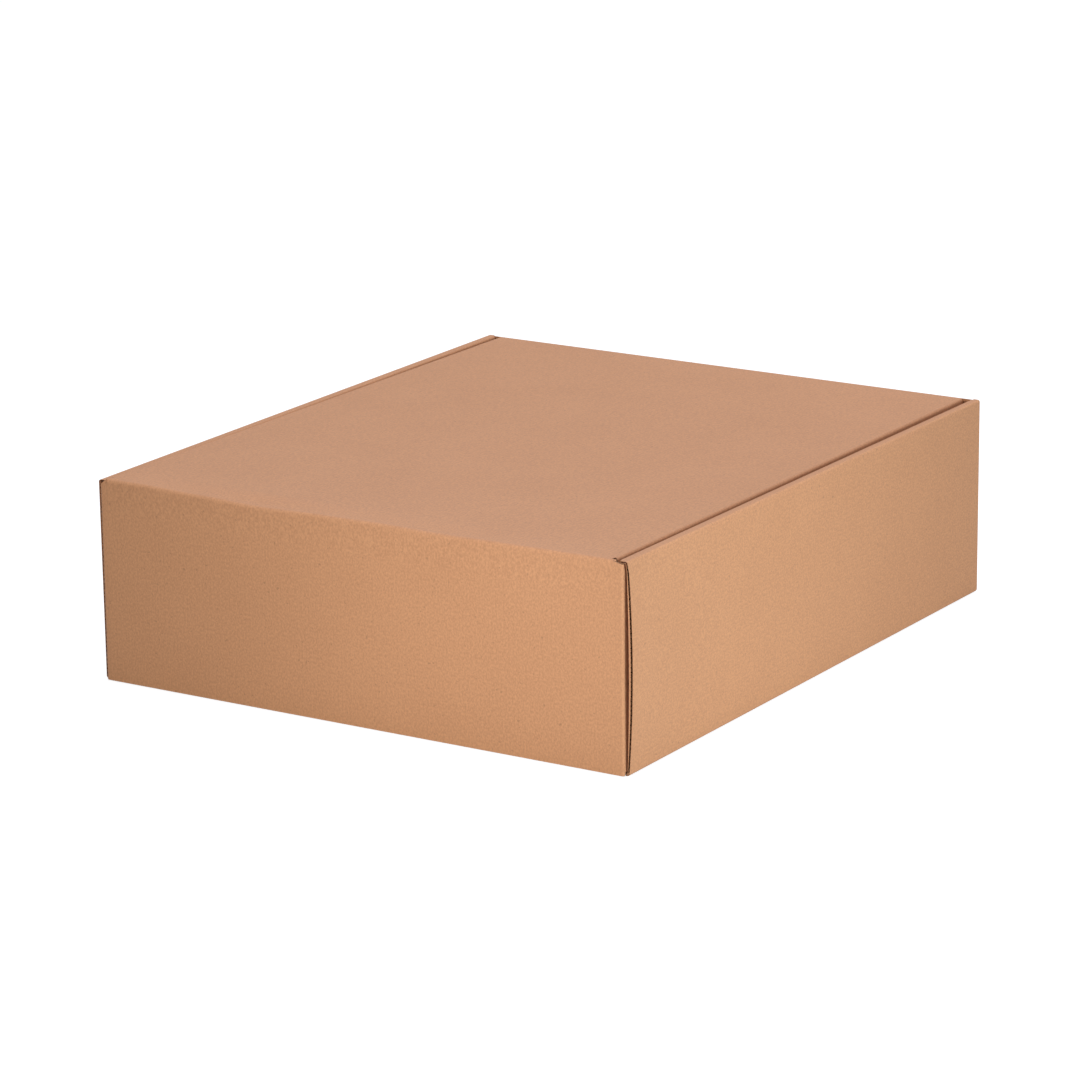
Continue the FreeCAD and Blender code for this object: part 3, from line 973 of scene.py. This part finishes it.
@dataclass(frozen=True)
class Lid:
    """Flat lid between the side rolls, turned over the back wall and down inside the linings."""

    blank: Blank
    flange_front: float = -0.2395
    tuck_back: float = 0.2434
    rear_wide: float = 0.2437
    rear_lap: float = 0.0015
    right_ease: float = 0.0011

    def build(self) -> List[bpy.types.Object]:
        """Fold the lid over the back wall and taper its sides.

        Returns:
            The lid.
        """
        b = self.blank
        middle = b.middle + b.lid_drift
        half = b.lid_half_front - b.lid_fold
        back = b.half_depth - b.fold - HAIR
        lid = Workpiece("lid_panel", (middle - half, b.crease_back, b.top),
                        (middle + half, back, b.top), Facing.UP, board_finishes(FlutesAcross.LID))
        lid.pick(lambda point: point.y > 0)
        lid.fold((0, back, b.wall_top), (-1, 0, 0))
        lid.cut([self.tuck_back, self.rear_wide], 1)
        for side in (-1, 1):
            edge = middle + side * half
            lid.pick(lambda point: abs(point.x - edge) < HAIR and point.y < self.tuck_back + HAIR)
            lid.fold((edge, 0, b.top - b.lid_fold), (0, side, 0)).run(0, 0, -b.lid_tuck)
        lid.pick(lambda point: point.y < b.crease_back + HAIR
                 and point.z < b.top - b.lid_fold + HAIR)
        lid.run(0, self.flange_front - b.crease_back, 0)

        def tapered(point: Vector) -> Vector:
            """Place of a point once the lid narrows up to its wide rear crease.

            Args:
                point: its place on the straight lid.

            Returns:
                Its place on the tapered lid.
            """
            if point.y > self.rear_wide - HAIR:
                half_rear = b.lining_face + self.rear_lap
                point.x = b.middle + (half_rear if point.x > middle else -half_rear)
                return point
            shift = b.lid_half_front - b.lid_half(point.y)
            share = min(1.0, abs(point.x - middle) / half)
            point.x -= math.copysign(shift * share, point.x - middle)
            if point.x > middle:
                point.x += self.right_ease * share * shift / (b.lid_half_front - b.lid_half_back)
            return point

        lid.press(tapered).thicken(b.thick)
        lid.pick_faces(lambda centre, normal: centre.y > self.tuck_back and normal.y < -0.5)
        lid.finish(Finish.LINER)
        return [lid.done("box")]


@dataclass(frozen=True)
class FrontCrease:
    """Soft crease from the lid to its front flap, pressed down unevenly by use."""

    blank: Blank
    radius: float = 0.0028
    bend_reach: float = 0.005
    corner_back: float = 0.0063
    corner_slit: float = 0.0002
    corner_drop: float = 0.0006
    corner_reach: Tuple[float, float] = (0.0002, 0.0018)
    scores_down: int = 5
    scores_back: int = 6
    scores_across: int = 63

    def pressed(self, point: Vector) -> Vector:
        """Place of a point once the crease is tapered to the lid and pressed down.

        Args:
            point: its place on the straight crease.

        Returns:
            Its place on the soft crease.
        """
        b = self.blank
        middle = b.middle + b.lid_drift
        point.x = middle + (point.x - middle) * b.lid_half(point.y) / b.lid_half(-b.half_depth)
        near_lid = clamp((b.crease_back - point.y) / (b.half_depth + b.crease_back - self.radius))
        near_flap = clamp((point.z - b.flap_seam) / (b.top - b.flap_seam - self.radius))
        point.z -= b.dip(point.x) * smooth(near_lid * near_flap)
        return point

    def build(self) -> List[bpy.types.Object]:
        """Fold the crease and press it.

        Returns:
            The crease.
        """
        b = self.blank
        middle = b.middle + b.lid_drift
        face, level = -b.half_depth, b.top - self.radius
        half = b.lid_half_front - b.lid_fold
        crease = Workpiece("front_crease", (middle - half, face, b.flap_seam),
                           (middle + half, face, level), Facing.FRONT,
                           board_finishes(FlutesAcross.LID))
        crease.pick_edges(lambda first, second: abs(first.x - second.x) < HAIR)
        crease.work(bpy.ops.mesh.subdivide, number_cuts=self.scores_down)
        crease.pick(lambda point: abs(point.z - level) < HAIR)
        crease.fold((0, face + self.radius, level), (-1, 0, 0))
        length = b.crease_back - face - self.radius
        for _ in range(self.scores_back):
            crease.run(0, length / self.scores_back, 0)
        crease.pick_edges(lambda first, second: abs(first.x - second.x) > half)
        crease.work(bpy.ops.mesh.subdivide, number_cuts=self.scores_across)
        corner = face + self.corner_back
        crease.cut([corner, corner + self.corner_slit], 1)
        for side, reach in zip((-1, 1), self.corner_reach):
            edge = middle + side * half
            crease.pick(lambda point: abs(point.x - edge) < HAIR and point.y < corner + HAIR)
            crease.run(side * b.lid_fold, 0, 0)
            crease.pick(lambda point: abs(point.x - edge - side * b.lid_fold) < HAIR
                        and point.z > b.top - self.corner_drop)
            crease.run(side * reach, 0, 0)
            crease.pick(lambda point: abs(point.x - edge) < HAIR
                        and point.y > corner + self.corner_slit - HAIR)
            crease.fold((edge, 0, b.top - b.lid_fold), (0, side, 0))
        crease.press(self.pressed).thicken(b.thick)
        made = crease.done("")
        reach = self.bend_reach
        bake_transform(made)
        return [made]


@dataclass(frozen=True)
class FrontFlap:
    """Front flap with the two ears that are tucked into the side walls."""

    blank: Blank
    foot: float = 0.0004
    ear_start: float = 0.0006
    ear_scores: int = 8
    ear_length: float = 0.078
    ear_slope: float = 0.009
    ear_corner: float = 0.012
    ear_foot: float = 0.0026
    crease_end: float = 0.1432
    left_corner: float = 0.1386
    left_fold: float = 0.0029
    right_set: float = 0.0008

    def shoulders(self, point: Vector) -> Vector:
        """Place of a point once the shoulders slope down from the crease to the ears.

        Args:
            point: its place on the flap with level shoulders.

        Returns:
            Its place on the flap with sloping shoulders.
        """
        b = self.blank
        if point.z < b.shoulder - TRACE or point.y > -b.half_depth + b.fold + TRACE:
            return point
        middle = b.middle + b.lid_drift
        corner = b.shoulder if point.x > middle else self.left_corner
        edge = b.middle + math.copysign(b.ear_face, point.x) - middle
        share = (abs(point.x - middle) - b.lid_half_front) / (abs(edge) - b.lid_half_front)
        point.z = self.crease_end + share * (corner - self.crease_end)
        return point

    def outline(self, point: Vector) -> Vector:
        """Place of a point once the ears are cut to their outline.

        Args:
            point: its place on the straight strip.

        Returns:
            Its place in the ear.
        """
        b = self.blank
        root, tip = -b.half_depth + b.fold, -b.half_depth + self.ear_length
        if point.y <= root + TRACE:
            return point
        pivot_y, pivot_z = -b.half_depth + b.thick / 2, b.top - b.thick / 2
        swing = pivot_z - self.ear_foot
        low = pivot_z - math.sqrt(swing ** 2 - (point.y - pivot_y) ** 2)
        share = (point.y - root) / (tip - root)
        high = b.shoulder - self.ear_slope * share
        into_corner = max(0.0, point.y - tip + self.ear_corner)
        high -= self.ear_corner - math.sqrt(max(0.0, self.ear_corner ** 2 - into_corner ** 2))
        level = (point.z - self.foot) / (b.shoulder - self.foot)
        point.z = low + (high - low) * level
        return b.settled(point) if point.x < b.middle else point

    def crushed(self, point: Vector) -> Vector:
        """Place of a point once the right ear is crushed to its thickness in the slot.

        Args:
            point: its place on the thickened flap.

        Returns:
            Its place on the crushed ear.
        """
        b = self.blank
        inner = b.middle + b.ear_face - self.right_set - b.thick
        if point.y > -b.half_depth + b.fold - TRACE and abs(point.x - inner) < 10 * TRACE:
            point.x += self.right_set
        return point

    def build_panel(self) -> Workpiece:
        """Cut the flap round its crease, and fold and shape its ears.

        Returns:
            The flap, thickened, with a pocket between the liners of its lower edge.
        """
        b = self.blank
        face = -b.half_depth
        left = b.middle - b.ear_face + self.left_fold
        right = b.middle + b.ear_face - b.tight_fold - self.right_set
        flap = Workpiece("front_flap_panel", (left, face, self.foot), (right, face, b.flap_seam),
                         Facing.FRONT, board_finishes(FlutesAcross.ENDS, pockets=True))
        middle = b.middle + b.lid_drift
        flap.cut([middle - b.lid_half_front, middle + b.lid_half_front], 0)
        for side in (-1, 1):
            flap.pick(lambda point: abs(point.z - b.flap_seam) < HAIR
                      and (point.x - middle) * side > b.lid_half_front - HAIR)
            flap.run(0, 0, b.shoulder - b.flap_seam)
        turns = [math.sin(math.pi / 2 * number / self.ear_scores)
                 for number in range(self.ear_scores + 1)]
        for side, edge, radius in ((-1, left, self.left_fold), (1, right, b.tight_fold)):
            flap.pick(lambda point: abs(point.x - edge) < HAIR)
            flap.fold((edge, face + radius, 0), (0, 0, side)).run(0, self.ear_start, 0)
            length = self.ear_length - radius - self.ear_start - self.ear_corner
            for _ in range(self.ear_scores):
                flap.run(0, length / self.ear_scores, 0)
            for before, after in zip(turns, turns[1:]):
                flap.run(0, self.ear_corner * (after - before), 0)
        flap.press(self.outline).press(self.shoulders).thicken(b.thick).press(self.crushed)
        flap.pick_faces(lambda centre, normal: normal.z < -0.9 and centre.z < self.foot + TRACE
                        and left < centre.x < right)
        return flap.open_pocket(b.liner, 0, 0, b.open_end)

    def build(self) -> List[bpy.types.Object]:
        """Build the flap and the flutes of its lower edge.

        Returns:
            The flap and its row of flutes.
        """
        b = self.blank
        left = b.middle - b.ear_face + self.left_fold + b.liner
        right = b.middle + b.ear_face - b.tight_fold - self.right_set - b.liner
        back = -b.half_depth + b.thick - b.liner - b.flute_air

        def laid(along: float, depth: float, height: float) -> Vector:
            """Place in the lower edge of a point of the flat row."""
            return Vector((along, back - height * b.flute_gap, self.foot + depth))

        row = WavedPaper(b, "edge_flutes_flap", left, right, laid)
        return [self.build_panel().done("flap"), row.build("flap")]


@dataclass(frozen=True)
class Studio:
    """Pale floor, soft lamps and the camera at the photograph's angle."""

    azimuth: float = 32.32
    elevation: float = 15.65
    roll: float = -0.63
    lens: float = 153.4
    place: Point = (1.6581, -2.6389, 0.9426)
    ambient: float = 0.50
    floor_tone: float = 0.42
    floor_lift: float = 0.82

    def camera(self) -> None:
        """Set up the camera with its turn about its own axis."""
        a, e, r = (math.radians(value) for value in (self.azimuth, self.elevation, self.roll))
        back = Vector((math.sin(a) * math.cos(e), -math.cos(a) * math.cos(e), math.sin(e)))
        level = Vector((math.cos(a), math.sin(a), 0))
        upright = back.cross(level)
        right = level * math.cos(r) + upright * math.sin(r)
        up = upright * math.cos(r) - level * math.sin(r)
        bpy.ops.object.camera_add()
        camera = bpy.context.object
        camera.name = "studio_camera"
        turn = Matrix((right, up, back)).transposed().to_4x4()
        camera.matrix_world = Matrix.Translation(self.place) @ turn
        camera.data.sensor_fit = "HORIZONTAL"
        camera.data.sensor_width = 36.0
        camera.data.lens = self.lens
        camera.data.clip_end = 50.0
        bpy.context.scene.camera = camera

    def floor(self) -> None:
        """Lay the floor, lifted to white for the camera but still shaded by the box."""
        bpy.ops.mesh.primitive_plane_add(size=40, location=(0, 0, -0.0002))
        floor = bpy.context.object
        floor.name = "studio_floor"
        desk = Desk(bpy.data.materials.new("studio_floor"))
        matt = desk.node("BsdfDiffuse", {"Color": (*(self.floor_tone,) * 3, 1)})
        strength = desk.math("MULTIPLY", desk.seen(), self.floor_lift)
        lift = desk.node("Emission", {"Color": (1, 1, 1, 1), "Strength": strength})
        both = desk.node("AddShader", {0: matt.outputs[0], 1: lift.outputs[0]})
        desk.node("OutputMaterial", {"Surface": both.outputs[0]})
        floor.data.materials.append(desk.owner)

    def sky(self) -> None:
        """Make the surroundings white to the camera and an even light to the box."""
        desk = Desk(bpy.data.worlds.new("studio_sky"))
        bpy.context.scene.world = desk.owner
        level = desk.node("MapRange", {"Value": desk.seen(), "To Min": self.ambient, "To Max": 1.0})
        sky = desk.node("Background", {"Strength": level.outputs[0]})
        desk.node("OutputWorld", {"Surface": sky.outputs[0]})

    def lamp(self, name: str, place: Point, target: Point, size: float, power: float,
             colour: Colour) -> None:
        """Hang one soft lamp.

        Args:
            name: its name.
            place: where it hangs.
            target: the point it looks at.
            size: side of its square face.
            power: its power in watts.
            colour: its colour.
        """
        bpy.ops.object.light_add(type="AREA", location=place)
        lamp = bpy.context.object
        lamp.name = name
        lamp.data.shape = "SQUARE"
        lamp.data.size = size
        lamp.data.energy = power
        lamp.data.color = colour
        lamp.visible_camera = False
        way = Vector(target) - Vector(place)
        lamp.rotation_mode = "QUATERNION"
        lamp.rotation_quaternion = way.to_track_quat("-Z", "Y")

    def build(self) -> None:
        """Set up the whole studio."""
        bpy.ops.object.select_all(action="DESELECT")
        self.camera()
        self.floor()
        self.sky()
        self.lamp("front_lamp", (0.170, -0.71, 0.19), (0.14, -0.246, 0.07), 0.08, 1.38,
                  (0.97, 1.02, 1.09))
        self.lamp("side_lamp", (0.90, -0.15, 0.112), (0.21, -0.15, 0.07), 0.05, 2.95,
                  (0.87, 0.98, 1.02))
        self.lamp("top_lamp", (0.3, 0.4, 2.4), (0, 0, 0.1), 2.0, 31.0, (0.99, 1.04, 1.27))
        bpy.context.scene.view_settings.view_transform = "Standard"


def main() -> None:
    """Build every part of the box, dress it and set up the studio."""
    logging.basicConfig(level=logging.INFO, format="%(name)s %(message)s")
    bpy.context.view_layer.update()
    blank = Blank()
    box_parts = [BasePanel(blank), EndWall(blank, End.FRONT), EndWall(blank, End.BACK),
                 SideWall(blank, Side.LEFT), SideWall(blank, Side.RIGHT), Lid(blank)]
    box_pieces = [piece for part in box_parts for piece in part.build()]
    crease = FrontCrease(blank).build()
    flap_pieces = FrontFlap(blank).build()
    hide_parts("box_body")
    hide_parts("front_flap")
    Studio().build()
    LOG.info("%d pieces", len(box_pieces + crease + flap_pieces))


if __name__ == "__main__":
    main()
